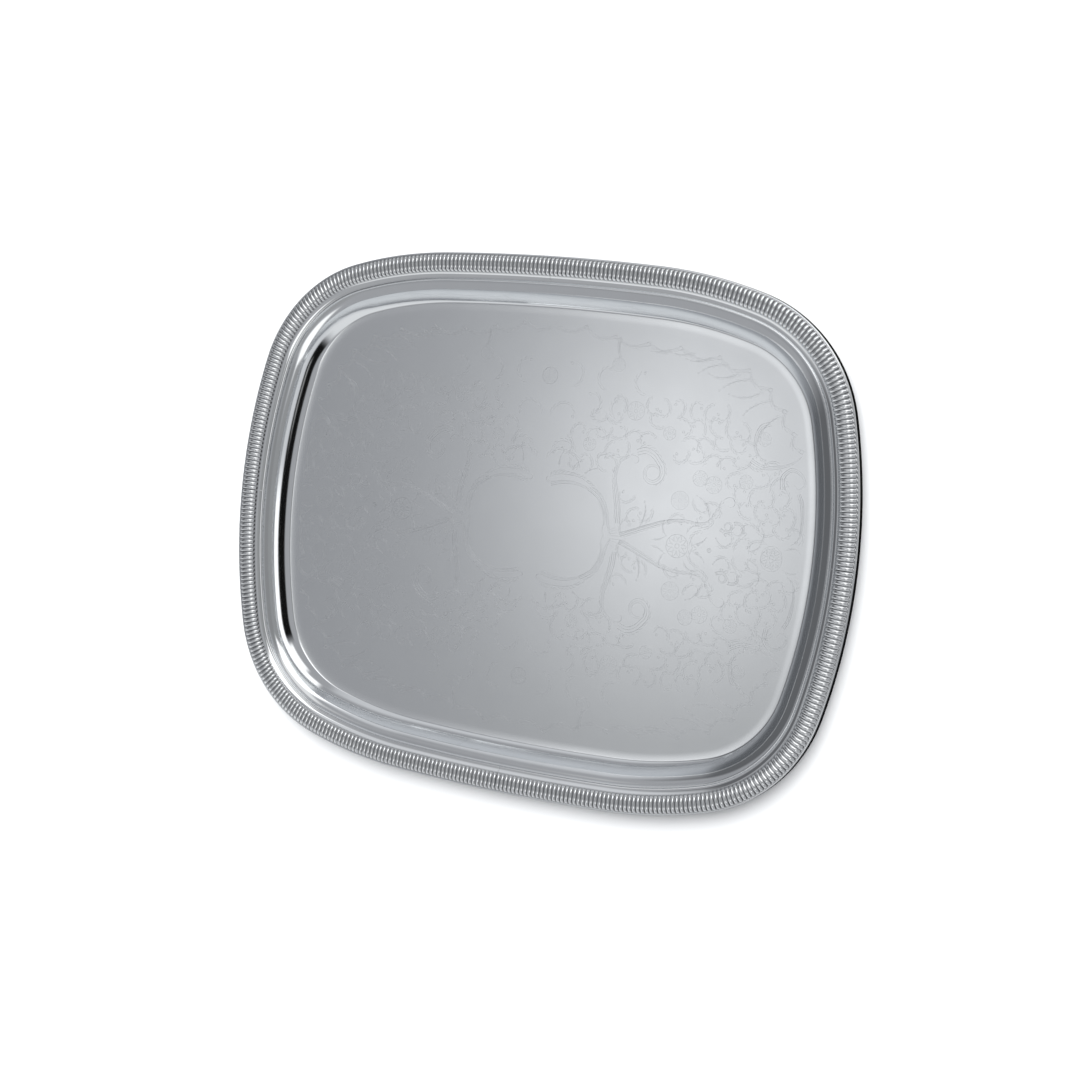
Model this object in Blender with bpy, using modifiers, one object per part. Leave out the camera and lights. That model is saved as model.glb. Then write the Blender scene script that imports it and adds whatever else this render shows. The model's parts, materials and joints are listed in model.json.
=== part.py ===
"""Silver salver: an oblong, footless serving tray with a fluted border.

Everything is in metres, +Z up. The origin is at the middle of the underside, on the surface that the
salver rests on, and the long side runs along X.

Every ring of the salver is an inward offset of one outline: four tangent arcs in each quarter. "Inset"
below is the distance inward from that outline, and "drop" is the depth below the top of the lip.
"""
import math

import bmesh
import bpy

# ---- driving dimensions -------------------------------------------------------------------------------
HALF_LENGTH = 0.262
SHORT_SIDE_RADIUS = 0.460
CORNER_RADIUS = 0.113
SHOULDER_RADIUS = 0.338
CORNER_STARTS = math.radians(13.8)      # directions of the outline's normal, measured from +X
SHOULDER_STARTS = math.radians(72.9)
LONG_SIDE_STARTS = math.radians(87.1)
QUARTER_TURN = math.radians(90.0)

SHEET = 0.0010                          # thickness of the pressed plate
MOUNT_SHEET = 0.0006                    # thickness of the stamped border
GAP = 0.0003                            # clearance between neighbouring pieces

PANEL_DROP = 0.0205                     # the panel's top face lies this far below the top of the lip
LIP_TOP = SHEET + PANEL_DROP

WALL_FOOT_INSET = 0.0380                # where the flat panel ends
WALL_FOOT_RADIUS = 0.0021               # tight curve between the panel and the wall
WALL_FOOT_SLOPE = math.radians(44.0)
WALL_RADIUS = 0.0427                    # the wall itself is a slow curve, a little steeper at its top
WALL_TOP_SLOPE = math.radians(64.0)

BAND_WIDTH = 0.0020                     # the strip that laps the outer edge
BAND_DEPTH = 0.0079
BAND_ROUNDING = 0.0008
BORDER_EDGE_INSET = BAND_WIDTH + GAP    # border and flange both end here, inside the strip

SEAM_INSET = 0.0212                     # where the sloping band ends, under the seam wire
SEAM_DROP = 0.0040
FLANGE_INSET = 0.0190                   # the flange under the border is level outside this line
FLANGE_DROP = 0.0044

FLUTE_INNER_INSET = 0.0153              # the raised, fluted part of the border
FLUTE_INNER_DROP = 0.0012
FLUTE_OUTER_DROP = 0.0004
FLUTE_RISE = 0.0020                     # its crest stands this far above the lip
COVE_INSET = 0.0199                     # the hollow moulding between the flutes and the seam wire
COVE_DROP = 0.0033

WIRE_RADIUS = 0.0005
WIRE_INSET = COVE_INSET + GAP + WIRE_RADIUS
WIRE_DROP = SEAM_DROP - GAP - WIRE_RADIUS

# steps on each arc of a quarter, in the order of the arcs
ARC_STEPS = (5, 14, 5, 3)
WALL_STEPS = 4
FOOT_STEPS = 3
CREST_STEPS = 6
COVE_STEPS = 3


# ---- the outline --------------------------------------------------------------------------------------
def outline_arcs():
    """The arcs of the first quarter: (centre x, centre y, radius, start angle, end angle)."""
    angles = (0.0, CORNER_STARTS, SHOULDER_STARTS, LONG_SIDE_STARTS, QUARTER_TURN)
    # the long side's radius is what closes the quarter on the Y axis
    run = HALF_LENGTH - SHORT_SIDE_RADIUS
    run += (SHORT_SIDE_RADIUS - CORNER_RADIUS) * math.cos(CORNER_STARTS)
    run += (CORNER_RADIUS - SHOULDER_RADIUS) * math.cos(SHOULDER_STARTS)
    long_side_radius = SHOULDER_RADIUS + run / math.cos(LONG_SIDE_STARTS)
    radii = (SHORT_SIDE_RADIUS, CORNER_RADIUS, SHOULDER_RADIUS, long_side_radius)
    x = HALF_LENGTH - SHORT_SIDE_RADIUS
    y = 0.0
    arcs = []
    for i, radius in enumerate(radii):
        if i > 0:
            x += (radii[i - 1] - radius) * math.cos(angles[i])
            y += (radii[i - 1] - radius) * math.sin(angles[i])
        arcs.append((x, y, radius, angles[i], angles[i + 1]))
    return arcs


ARCS = outline_arcs()


def quarter_stations(end_gap=0.0):
    """Stations of the first quarter as (centre x, centre y, radius, angle), from +X round to +Y.

    end_gap is kept free at both ends, measured along the outline.
    """
    stations = []
    for arc, steps in zip(ARCS, ARC_STEPS):
        cx, cy, radius, start, end = arc
        if arc is ARCS[0]:
            start += end_gap / radius
            stations.append((cx, cy, radius, start))
        if arc is ARCS[-1]:
            end -= end_gap / radius
        for i in range(1, steps + 1):
            stations.append((cx, cy, radius, start + (end - start) * i / steps))
    return stations


def place(station, inset, signs=(1, 1)):
    """The plan point of a station at an inset, mirrored into the quarter that signs names."""
    cx, cy, radius, angle = station
    x = cx + (radius - inset) * math.cos(angle)
    y = cy + (radius - inset) * math.sin(angle)
    return signs[0] * x, signs[1] * y


# the four quarters in anticlockwise order; each second one is walked backwards
QUARTERS = (
    ("right_back", (1, 1)),
    ("left_back", (-1, 1)),
    ("left_front", (-1, -1)),
    ("right_front", (1, -1)),
)


def quarter_walk(signs, end_gap=0.0):
    """Stations of one quarter in anticlockwise order."""
    stations = quarter_stations(end_gap)
    if signs[0] * signs[1] < 0:
        stations.reverse()
    return stations


def ring(inset, drop):
    """All the way round at one inset, anticlockwise, as 3D points."""
    z = LIP_TOP - drop
    points = []
    for _, signs in QUARTERS:
        for station in quarter_walk(signs)[:-1]:
            points.append((*place(station, inset, signs), z))
    return points


# ---- profiles: lists of (inset, drop) -----------------------------------------------------------------
def wall_profile():
    """The panel's edge, the tight curve at the wall's foot, and the wall up to its crisp top edge."""
    points = []
    inset = WALL_FOOT_INSET
    drop = PANEL_DROP
    for i in range(FOOT_STEPS + 1):
        slope = WALL_FOOT_SLOPE * i / FOOT_STEPS
        points.append((
            inset - WALL_FOOT_RADIUS * math.sin(slope),
            drop - WALL_FOOT_RADIUS * (1 - math.cos(slope)),
        ))
    inset, drop = points[-1]
    for i in range(1, WALL_STEPS + 1):
        slope = WALL_FOOT_SLOPE + (WALL_TOP_SLOPE - WALL_FOOT_SLOPE) * i / WALL_STEPS
        points.append((
            inset - WALL_RADIUS * (math.sin(slope) - math.sin(WALL_FOOT_SLOPE)),
            drop - WALL_RADIUS * (math.cos(WALL_FOOT_SLOPE) - math.cos(slope)),
        ))
    return points


def plate_profile():
    """The plate's top face, from the panel's edge outwards."""
    return wall_profile() + [
        (SEAM_INSET, SEAM_DROP),
        (FLANGE_INSET, FLANGE_DROP),
        (BORDER_EDGE_INSET, FLANGE_DROP),
    ]


def crest_profile():
    """The raised band that carries the flutes, from its inner to its outer edge."""
    span = FLUTE_INNER_INSET - BORDER_EDGE_INSET
    points = []
    for i in range(CREST_STEPS + 1):
        t = i / CREST_STEPS
        base = FLUTE_INNER_DROP + (FLUTE_OUTER_DROP - FLUTE_INNER_DROP) * t
        hump = (FLUTE_RISE + (FLUTE_INNER_DROP + FLUTE_OUTER_DROP) / 2) * 4 * t * (1 - t)
        points.append((FLUTE_INNER_INSET - span * t, base - hump))
    return points


def cove_profile():
    """The hollow moulding from the seam up to the flutes, leaving out its last point."""
    points = []
    for i in range(COVE_STEPS):
        t = i / COVE_STEPS
        inset = COVE_INSET + (FLUTE_INNER_INSET - COVE_INSET) * t
        drop = COVE_DROP + (FLUTE_INNER_DROP - COVE_DROP) * t * t
        points.append((inset, drop))
    return points


def mount_profile():
    """The stamped border's outer face: cove, fluted crest, and the wall turned down at the outside."""
    return cove_profile() + crest_profile() + [(BORDER_EDGE_INSET, FLANGE_DROP - GAP)]


def filling_profile():
    """Closed section of the filling: level below, and parallel to the crest above."""
    clear = MOUNT_SHEET + GAP
    crest = crest_profile()
    points = []
    for i, (inset, drop) in enumerate(crest):
        before = crest[max(i - 1, 0)]
        after = crest[min(i + 1, len(crest) - 1)]
        run = before[0] - after[0]
        fall = after[1] - before[1]
        length = math.hypot(run, fall)
        inset = max(inset + clear * fall / length, BORDER_EDGE_INSET + clear)
        points.append((inset, drop + clear * run / length))
    floor = FLANGE_DROP - GAP
    return [(points[0][0], floor)] + points + [(points[-1][0], floor)]


# ---- mesh helpers -------------------------------------------------------------------------------------
def add_object(name, mesh, collection, material):
    obj = bpy.data.objects.new(name, mesh)
    collection.objects.link(obj)
    mesh.materials.append(material)
    mesh.shade_smooth()
    mesh.set_sharp_from_angle(angle=math.radians(35))
    return obj


def finish_mesh(bm, name):
    bmesh.ops.recalc_face_normals(bm, faces=bm.faces)
    mesh = bpy.data.meshes.new(name)
    bm.to_mesh(mesh)
    bm.free()
    return mesh


def loop_edges(bm, points, closed):
    """Add a chain of edges through the points."""
    verts = [bm.verts.new(p) for p in points]
    edges = [bm.edges.new(pair) for pair in zip(verts, verts[1:])]
    if closed:
        edges.append(bm.edges.new((verts[-1], verts[0])))
    return verts, edges


def extrude_chain(bm, verts, edges, rows):
    """Extrude a chain of edges once for each further row of points."""
    for row in rows:
        made = bmesh.ops.extrude_edge_only(bm, edges=edges)["geom"]
        lookup = {}
        for new in (g for g in made if isinstance(g, bmesh.types.BMVert)):
            for edge in new.link_edges:
                old = edge.other_vert(new)
                if old in verts:
                    lookup[old] = new
        verts = [lookup[v] for v in verts]
        for vert, point in zip(verts, row):
            vert.co = point
        edges = [g for g in made if isinstance(g, bmesh.types.BMEdge)]
    return verts, edges


def thicken(obj, thickness):
    """Give an open sheet its thickness below the drawn face."""
    solidify = obj.modifiers.new("thickness", "SOLIDIFY")
    solidify.thickness = thickness
    solidify.offset = -1.0
    solidify.use_even_offset = True


def metal(name, color, roughness):
    material = bpy.data.materials.new(name)
    material.use_nodes = True
    shader = material.node_tree.nodes["Principled BSDF"]
    shader.inputs["Base Color"].default_value = (*color, 1.0)
    shader.inputs["Metallic"].default_value = 1.0
    shader.inputs["Roughness"].default_value = roughness
    material.diffuse_color = (*color, 1.0)
    return material


# ---- the pieces ---------------------------------------------------------------------------------------
def make_tray_plate(collection):
    profile = plate_profile()
    bm = bmesh.new()
    verts, edges = loop_edges(bm, ring(*profile[0]), closed=True)
    bm.faces.new(verts)
    extrude_chain(bm, verts, edges, [ring(*point) for point in profile[1:]])
    mesh = finish_mesh(bm, "tray_plate")
    obj = add_object("tray_plate", mesh, collection, metal("satin_silver", (0.62, 0.64, 0.66), 0.32))
    thicken(obj, SHEET)


def make_border_mount(collection, quarter, signs):
    stations = quarter_walk(signs, end_gap=GAP / 2)
    rows = []
    for inset, drop in mount_profile():
        rows.append([(*place(s, inset, signs), LIP_TOP - drop) for s in stations])
    bm = bmesh.new()
    verts, edges = loop_edges(bm, rows[0], closed=False)
    extrude_chain(bm, verts, edges, rows[1:])
    name = "border_mount_" + quarter
    mesh = finish_mesh(bm, name)
    obj = add_object(name, mesh, collection, metal("fluted_silver_" + quarter, (0.70, 0.72, 0.74), 0.12))
    thicken(obj, MOUNT_SHEET)


def make_border_filling(collection, quarter, signs):
    stations = quarter_walk(signs, end_gap=GAP / 2)
    section = filling_profile()
    rows = []
    for station in stations:
        rows.append([(*place(station, inset, signs), LIP_TOP - drop) for inset, drop in section])
    bm = bmesh.new()
    verts, edges = loop_edges(bm, rows[0], closed=True)
    bm.faces.new(verts)
    verts, edges = extrude_chain(bm, verts, edges, rows[1:])
    bm.faces.new(verts)
    name = "border_filling_" + quarter
    mesh = finish_mesh(bm, name)
    add_object(name, mesh, collection, metal("filling_metal_" + quarter, (0.30, 0.31, 0.32), 0.6))


def make_edge_band(collection):
    bm = bmesh.new()
    verts, edges = loop_edges(bm, ring(0.0, 0.0), closed=True)
    extrude_chain(bm, verts, edges, [ring(0.0, BAND_DEPTH)])
    mesh = finish_mesh(bm, "edge_band")
    obj = add_object("edge_band", mesh, collection, metal("edge_silver", (0.66, 0.68, 0.70), 0.15))
    thicken(obj, BAND_WIDTH)
    bevel = obj.modifiers.new("rounding", "BEVEL")
    bevel.width = BAND_ROUNDING
    bevel.segments = 1
    bevel.limit_method = "ANGLE"
    bevel.angle_limit = math.radians(60)


def make_seam_wire(collection):
    curve = bpy.data.curves.new("seam_wire", "CURVE")
    curve.dimensions = "3D"
    curve.bevel_depth = WIRE_RADIUS
    curve.bevel_resolution = 1
    points = ring(WIRE_INSET, WIRE_DROP)
    spline = curve.splines.new("POLY")
    spline.points.add(len(points) - 1)
    for point, co in zip(spline.points, points):
        point.co = (*co, 1.0)
    spline.use_cyclic_u = True
    curve.materials.append(metal("wire_silver", (0.70, 0.72, 0.74), 0.15))
    obj = bpy.data.objects.new("seam_wire", curve)
    collection.objects.link(obj)


def main():
    for obj in list(bpy.data.objects):
        bpy.data.objects.remove(obj, do_unlink=True)
    collection = bpy.data.collections.new("silver_salver")
    bpy.context.scene.collection.children.link(collection)
    make_tray_plate(collection)
    for quarter, signs in QUARTERS:
        make_border_mount(collection, quarter, signs)
        make_border_filling(collection, quarter, signs)
    make_edge_band(collection)
    make_seam_wire(collection)


main()
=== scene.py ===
"""Looks of the silver salver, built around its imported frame. Metres, +Z up, in the part's own frame.

The CAD nodes are coarse, so each one that shows is replaced by a piece of the same size with a fine
surface: the pressed plate with its chased panel, the four fluted border mounts, the seam wire and the
edge band. The fillings stay inside the border.

Every ring is an inward offset of one outline, four tangent arcs in each quarter. "Inset" is the distance
inward from that outline, and "drop" is the depth below the top of the lip.
"""

import json
import math

import bmesh
import bpy
import numpy as np
from mathutils import Matrix, Vector


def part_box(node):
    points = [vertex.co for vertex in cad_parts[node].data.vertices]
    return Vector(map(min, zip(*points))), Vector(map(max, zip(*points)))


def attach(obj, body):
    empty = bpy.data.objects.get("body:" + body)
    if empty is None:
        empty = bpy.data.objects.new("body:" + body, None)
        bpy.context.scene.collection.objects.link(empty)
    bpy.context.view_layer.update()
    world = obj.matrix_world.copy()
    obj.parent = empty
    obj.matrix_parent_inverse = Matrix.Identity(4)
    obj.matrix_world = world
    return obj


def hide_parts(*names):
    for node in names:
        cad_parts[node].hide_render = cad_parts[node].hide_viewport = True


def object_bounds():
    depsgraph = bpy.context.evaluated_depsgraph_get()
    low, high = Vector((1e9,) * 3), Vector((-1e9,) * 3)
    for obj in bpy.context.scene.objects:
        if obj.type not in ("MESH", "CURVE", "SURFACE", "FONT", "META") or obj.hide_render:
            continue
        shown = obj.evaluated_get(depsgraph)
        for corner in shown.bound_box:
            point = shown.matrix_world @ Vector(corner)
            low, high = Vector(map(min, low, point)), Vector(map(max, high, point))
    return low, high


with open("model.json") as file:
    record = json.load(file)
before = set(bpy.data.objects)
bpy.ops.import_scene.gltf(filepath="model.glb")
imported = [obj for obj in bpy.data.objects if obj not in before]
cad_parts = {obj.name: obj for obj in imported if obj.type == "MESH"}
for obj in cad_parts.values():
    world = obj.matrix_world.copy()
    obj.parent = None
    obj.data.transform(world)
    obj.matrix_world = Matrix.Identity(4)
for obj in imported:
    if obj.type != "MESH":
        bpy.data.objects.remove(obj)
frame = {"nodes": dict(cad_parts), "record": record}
CAD_LOW, CAD_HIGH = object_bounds()

# ---- sizes that the frame gives ------------------------------------------------------
MOUNTS = {mount["name"]: mount for mount in frame["record"]["mounts"]}
HALF_LENGTH = CAD_HIGH.x
LIP_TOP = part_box("edge_band")[1].z
PANEL_TOP = MOUNTS["panel"]["pos_m"][2]
SHEET = PANEL_TOP                       # the plate's underside is at zero
PANEL_DROP = LIP_TOP - PANEL_TOP
CREST_TOP = CAD_HIGH.z

# ---- the outline and the section, as on the CAD part ---------------------------------
SHORT_SIDE_RADIUS = 0.460
CORNER_RADIUS = 0.113
SHOULDER_RADIUS = 0.338
CORNER_STARTS = math.radians(13.8)
SHOULDER_STARTS = math.radians(72.9)
LONG_SIDE_STARTS = math.radians(87.1)
QUARTER_TURN = math.radians(90.0)

GAP = 0.0003                            # clearance between neighbouring pieces
WALL_FOOT_INSET = 0.0380
WALL_FOOT_RADIUS = 0.0021
WALL_FOOT_SLOPE = math.radians(44.0)
WALL_RADIUS = 0.0427
WALL_TOP_SLOPE = math.radians(64.0)
SLOT_WIDTH = 0.00026                    # a fine line is cut along the crisp top edge of the wall
SLOT_DEPTH = 0.00035
PANEL_EASE = 0.0060                     # the panel's margin turns up a little before the wall's foot
PANEL_EASE_SLOPE = math.radians(4.0)
BAND_WIDTH = 0.0020
BAND_DEPTH = 0.0079
LIP_ROUNDING = 0.0008
LIP_INNER_ROUNDING = 0.00015
BAND_FOOT_ROUNDING = 0.0004
LIP_WIDTH = 0.0012
BORDER_EDGE_INSET = BAND_WIDTH + GAP
SEAM_INSET = 0.0212
SEAM_DROP = 0.0040
FLANGE_INSET = 0.0190
FLANGE_DROP = 0.0044
FLUTE_INNER_INSET = 0.0153
FLUTE_INNER_DROP = 0.0012
FLUTE_OUTER_DROP = 0.0004
FLUTE_RISE = CREST_TOP - LIP_TOP
COVE_INSET = 0.0199
COVE_DROP = 0.0033
WIRE_RADIUS = 0.0005
BEAD_RADIUS = WIRE_RADIUS + GAP         # the bead fills the seam from side to side
WIRE_INSET = COVE_INSET + GAP + WIRE_RADIUS
WIRE_DROP = SEAM_DROP - GAP - WIRE_RADIUS

# ---- the fluted border ---------------------------------------------------------------
FLUTES_PER_QUARTER = 112
FLUTE_PACE_INSET = 0.0088               # the flutes are evenly spaced along this line
FLUTE_DEPTH = 0.00085                   # of the grooves under the line of the crests
FLUTE_TOP = 0.00105                     # of the round flutes over their grooves
INNER_NOSE = 0.0028                     # lengths of a flute's rounded ends
OUTER_NOSE = 0.0016
# where a flute is sampled across its width, from one groove (-1) towards the next (1)
FLUTE_SAMPLES = np.array([-1.0, -0.86, -0.66, -0.42, -0.14, 0.14, 0.42, 0.66, 0.86])
LIP_LEDGE_DROP = 0.0001                 # the flutes' outer ends stand on a narrow ledge beside the lip
MOUNT_OUTER_INSET = 0.0013
MOUNT_SKIN = 0.0006                     # thickness of the stamped metal: at its outside,
SKIN_AT_COVE = MOUNT_SKIN / 2           # at the inner edge of its cove,
SKIN_UNDER_FLUTES = MOUNT_SKIN / 5      # and under its grooves
UNDERSIDE_STARTS = 0.93                 # of the way along the flutes, from their inner ends
UNDERSIDE_STEPS = 12
COVE_STEPS = 8
INNER_NOSE_STEPS = 10                   # along a flute: its inner end,
FLUTE_STEPS = 11                        # its straight part
OUTER_NOSE_STEPS = 8                    # and its outer end
JOINT_GAP = 0.00012                     # hairline between two lengths of border
SHADE_AND_TARNISH_FROM = 0.62                     # of the way from a flute's top line to its groove, where the painted shade and tarnish begin
SHADE_AND_TARNISH_EASED_AT_TIPS = 0.65                     # share of the painted shade and tarnish that is taken away at a flute's rounded tips

# ---- steps of the sweeps -------------------------------------------------------------
PLATE_STEPS = 112                       # in each quarter
PANEL_RINGS = 36
EASE_STEPS = 6
WALL_STEPS = 10
BEAD_SIDES = 12

# ---- the chased pattern, in units of the salver's half length except for its heights -
LINE = 0.0025                           # widths of the chased lines
FINE_LINE = 0.0020
HAIR_LINE = 0.0016
LINE_RISE = 0.000022                    # metres that a line's ridge stands above the panel
LINE_ROOT = 0.000030                    # metres that its foot is let into the panel
STROKE_TIP = 0.12                       # width of a stroke's pointed ends, as a share of its full width
STROKE_FULLNESS = 0.6                   # the lower, the sooner a stroke reaches its full width
CHASE_STEP = 0.0045                     # between the points of a curve
CHASE_TURN_STEP = 20                    # degrees that a curve may turn from point to point
LEAF_TURN = 75.0                        # degrees that a leaf curls back towards its stem
BLOSSOMS = (
    # centre, radius, petals
    ((0.455, 0.0), 0.030, 10), ((0.738, 0.004), 0.028, 9), ((0.449, 0.131), 0.024, 8),
    ((0.503, 0.200), 0.020, 7), ((0.545, 0.186), 0.022, 8), ((0.284, 0.372), 0.024, 8),
    ((0.640, 0.205), 0.018, 7), ((0.150, 0.262), 0.018, 7), ((0.680, 0.330), 0.017, 7),
    ((0.395, 0.318), 0.017, 7), ((0.216, 0.500), 0.018, 7), ((0.0, 0.450), 0.022, 8),
)
OPEN_FIELD = (0.553, 0.0)               # centre of the small open field on the long axis
FOLIAGE_ROWS = 9
FOLIAGE_COLUMNS = 18
FOLIAGE_START = (0.015, 0.030)
FOLIAGE_STEP = 0.045
FOLIAGE_SHIFT = 0.022                   # every other row is moved along by this
FOLIAGE_MIDDLE = 0.400                  # on the long axis; the foliage lies within its reach of this point
FOLIAGE_REACH = 0.430
BLOSSOM_MARGIN = 0.022
FOLIAGE_KEEPS_CLEAR = (
    # centre and radius: the great volute's eye, the open field and the hook beside it
    ((0.345, 0.200), 0.086), (OPEN_FIELD, 0.050), ((0.612, 0.085), 0.040),
    # the long stem
    ((0.320, 0.024), 0.030), ((0.365, 0.045), 0.030), ((0.410, 0.061), 0.030), ((0.500, 0.070), 0.030),
    # the great scroll's back
    ((0.257, 0.080), 0.028), ((0.248, 0.122), 0.028), ((0.239, 0.172), 0.028), ((0.256, 0.225), 0.028),
)
CARTOUCHE_HALF_SIZE = (0.285, 0.215)    # of the ellipse that the foliage leaves to the cartouche

# ---- the studio, in degrees ----------------------------------------------------------
DOME = (0.38, 0.385, 0.40)
CARDS = (
    # name, azimuths from +X, elevations, soft edges of the two, colour; later cards cover earlier ones
    ("low_ring", (-180.0, 180.0), (-90.0, 12.0), (1.0, 3.0), (0.64, 0.65, 0.67)),
    ("low_north", (82.0, 200.0), (-90.0, 13.0), (8.0, 4.0), (0.34, 0.345, 0.36)),
    ("north_wall", (98.0, 130.0), (9.0, 52.0), (8.0, 4.0), (0.62, 0.63, 0.65)),
    ("south_wall", (210.0, 302.0), (6.0, 25.0), (8.0, 3.0), (0.78, 0.79, 0.80)),
    ("north_high", (110.0, 150.0), (62.0, 79.0), (8.0, 3.0), (0.85, 0.85, 0.85)),
    ("north_box", (48.0, 114.0), (42.0, 79.0), (6.0, 3.0), (1.5, 1.5, 1.5)),
    ("south_box", (256.0, 318.0), (56.0, 77.0), (8.0, 3.0), (1.2, 1.2, 1.2)),
    ("camera_side", (-38.0, 52.0), (58.0, 90.0), (10.0, 5.0), (0.31, 0.315, 0.32)),
    ("zenith", (-180.0, 180.0), (81.0, 99.0), (1.0, 3.0), (0.27, 0.275, 0.28)),
    ("west_mid", (148.0, 216.0), (48.0, 64.0), (8.0, 3.0), (0.33, 0.335, 0.35)),
    ("south_west_dim", (198.0, 240.0), (60.0, 78.0), (8.0, 3.0), (0.34, 0.345, 0.35)),
    ("overhead", (172.0, 200.0), (66.5, 73.0), (14.0, 3.5), (1.45, 1.45, 1.45)),
    ("dark_wall", (134.0, 199.0), (15.0, 50.0), (10.0, 4.0), (0.13, 0.133, 0.14)),
    ("window", (-5.0, 84.0), (-90.0, 11.5), (4.0, 1.2), (1.25, 1.25, 1.25)),
    ("corner_window", (40.0, 68.0), (-90.0, 19.0), (4.0, 2.0), (1.25, 1.25, 1.25)),
    ("black_band", (-52.0, 36.0), (10.5, 26.0), (6.0, 1.5), (0.006, 0.006, 0.006)),
    ("sliver", (-32.0, -12.0), (13.5, 16.0), (5.0, 1.0), (0.30, 0.30, 0.30)),
)
GROUND_LOW = -0.85                      # upward part of the direction where the ground is darkest
GROUND_DARKEST = 0.01
FLOOR_HALF_SIZE = 15.0

QUARTERS = (
    ("right_back", (1, 1)),
    ("left_back", (-1, 1)),
    ("left_front", (-1, -1)),
    ("right_front", (1, -1)),
)


# ---- the outline ---------------------------------------------------------------------
def outline_arcs():
    """The arcs of the first quarter: (centre x, centre y, radius, start angle, end angle)."""
    angles = (0.0, CORNER_STARTS, SHOULDER_STARTS, LONG_SIDE_STARTS, QUARTER_TURN)
    # the long side's radius is what closes the quarter on the Y axis
    run = HALF_LENGTH - SHORT_SIDE_RADIUS
    run += (SHORT_SIDE_RADIUS - CORNER_RADIUS) * math.cos(CORNER_STARTS)
    run += (CORNER_RADIUS - SHOULDER_RADIUS) * math.cos(SHOULDER_STARTS)
    long_side_radius = SHOULDER_RADIUS + run / math.cos(LONG_SIDE_STARTS)
    radii = (SHORT_SIDE_RADIUS, CORNER_RADIUS, SHOULDER_RADIUS, long_side_radius)
    x = HALF_LENGTH - SHORT_SIDE_RADIUS
    y = 0.0
    arcs = []
    for i, radius in enumerate(radii):
        if i > 0:
            x += (radii[i - 1] - radius) * math.cos(angles[i])
            y += (radii[i - 1] - radius) * math.sin(angles[i])
        arcs.append((x, y, radius, angles[i], angles[i + 1]))
    return arcs


ARCS = outline_arcs()
ARC_PACES = [(radius - FLUTE_PACE_INSET) * (end - start) for _, _, radius, start, end in ARCS]
QUARTER_PACE = sum(ARC_PACES)


def quarter_stations(paces):
    """Stations of the first quarter, one for each pace in metres along the pace line from +X.

    Four arrays: centre x, centre y, radius and angle.
    """
    paces = np.clip(np.asarray(paces, float), 0.0, QUARTER_PACE)
    ends = np.cumsum(ARC_PACES)
    which = np.minimum(np.searchsorted(ends, paces, side="left"), len(ARCS) - 1)
    table = np.array(ARCS)[which]
    begin = np.concatenate(([0.0], ends))[which]
    radius = table[:, 2]
    angle = table[:, 3] + (paces - begin) / (radius - FLUTE_PACE_INSET)
    return table[:, 0], table[:, 1], radius, angle


def mirrored(stations, signs):
    """Stations of another quarter, in anticlockwise order, as (x, y) of the centre, radius and direction."""
    cx, cy, radius, angle = stations
    nx = np.cos(angle)
    ny = np.sin(angle)
    rows = np.stack([signs[0] * cx, signs[1] * cy, radius, signs[0] * nx, signs[1] * ny])
    return rows if signs[0] * signs[1] > 0 else rows[:, ::-1]


def all_round(steps_per_quarter):
    """Evenly paced stations all the way round, anticlockwise from +X."""
    paces = np.linspace(0.0, QUARTER_PACE, steps_per_quarter + 1)
    first = quarter_stations(paces)
    return np.concatenate([mirrored(first, signs)[:, :-1] for _, signs in QUARTERS], axis=1)


def sweep(stations, profile):
    """Points of a sweep: one row for each (inset, drop), one column for each station."""
    cx, cy, radius, nx, ny = stations
    rows = []
    for inset, drop in profile:
        reach = radius - inset
        z = np.broadcast_to(LIP_TOP - np.asarray(drop, float), reach.shape)
        rows.append(np.stack([cx + reach * nx, cy + reach * ny, z], axis=-1))
    return np.array(rows)


# ---- mesh helpers --------------------------------------------------------------------
def grid_faces(rows, columns, close_rows, close_columns):
    """Quads of a grid of points, wound so that they face along (column step) x (row step)."""
    row = np.arange(rows if close_rows else rows - 1)
    column = np.arange(columns if close_columns else columns - 1)
    r0, c0 = np.meshgrid(row, column, indexing="ij")
    r1 = (r0 + 1) % rows
    c1 = (c0 + 1) % columns
    quads = np.stack([r0 * columns + c0, r0 * columns + c1, r1 * columns + c1, r1 * columns + c0], -1)
    return quads.reshape(-1, 4)


def add_piece(name, points, faces, materials, replaced=()):
    """A smooth-shaded mesh that rides on the root and stands in for the replaced CAD nodes."""
    mesh = bpy.data.meshes.new(name)
    mesh.from_pydata(np.asarray(points).reshape(-1, 3).tolist(), [], faces)
    bm = bmesh.new()
    bm.from_mesh(mesh)
    bmesh.ops.recalc_face_normals(bm, faces=bm.faces)
    bm.to_mesh(mesh)
    bm.free()
    for material in materials:
        mesh.materials.append(material)
    obj = bpy.data.objects.new(name, mesh)
    bpy.context.scene.collection.objects.link(obj)
    mesh.shade_smooth()
    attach(obj, "root")
    if replaced:
        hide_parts(*replaced)
    return obj


# ---- materials -----------------------------------------------------------------------
def new_material(name, color, roughness):
    """A metal of one colour, and its shader."""
    material = bpy.data.materials.new(name)
    material.use_nodes = True
    shader = material.node_tree.nodes["Principled BSDF"]
    shader.inputs["Base Color"].default_value = (*color, 1.0)
    shader.inputs["Metallic"].default_value = 1.0
    shader.inputs["Roughness"].default_value = roughness
    return material, shader


def add_node(material, kind, **settings):
    """A new node, with some of its own settings."""
    node = material.node_tree.nodes.new(kind)
    for key, value in settings.items():
        setattr(node, key, value)
    return node


def link(material, source, target):
    material.node_tree.links.new(source, target)


def map_range(material, source, low, high):
    """Stretch a value that runs from 0 to 1 to run from low to high."""
    node = add_node(material, "ShaderNodeMapRange")
    node.inputs["To Min"].default_value = low
    node.inputs["To Max"].default_value = high
    link(material, source, node.inputs["Value"])
    return node.outputs["Result"]


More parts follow.
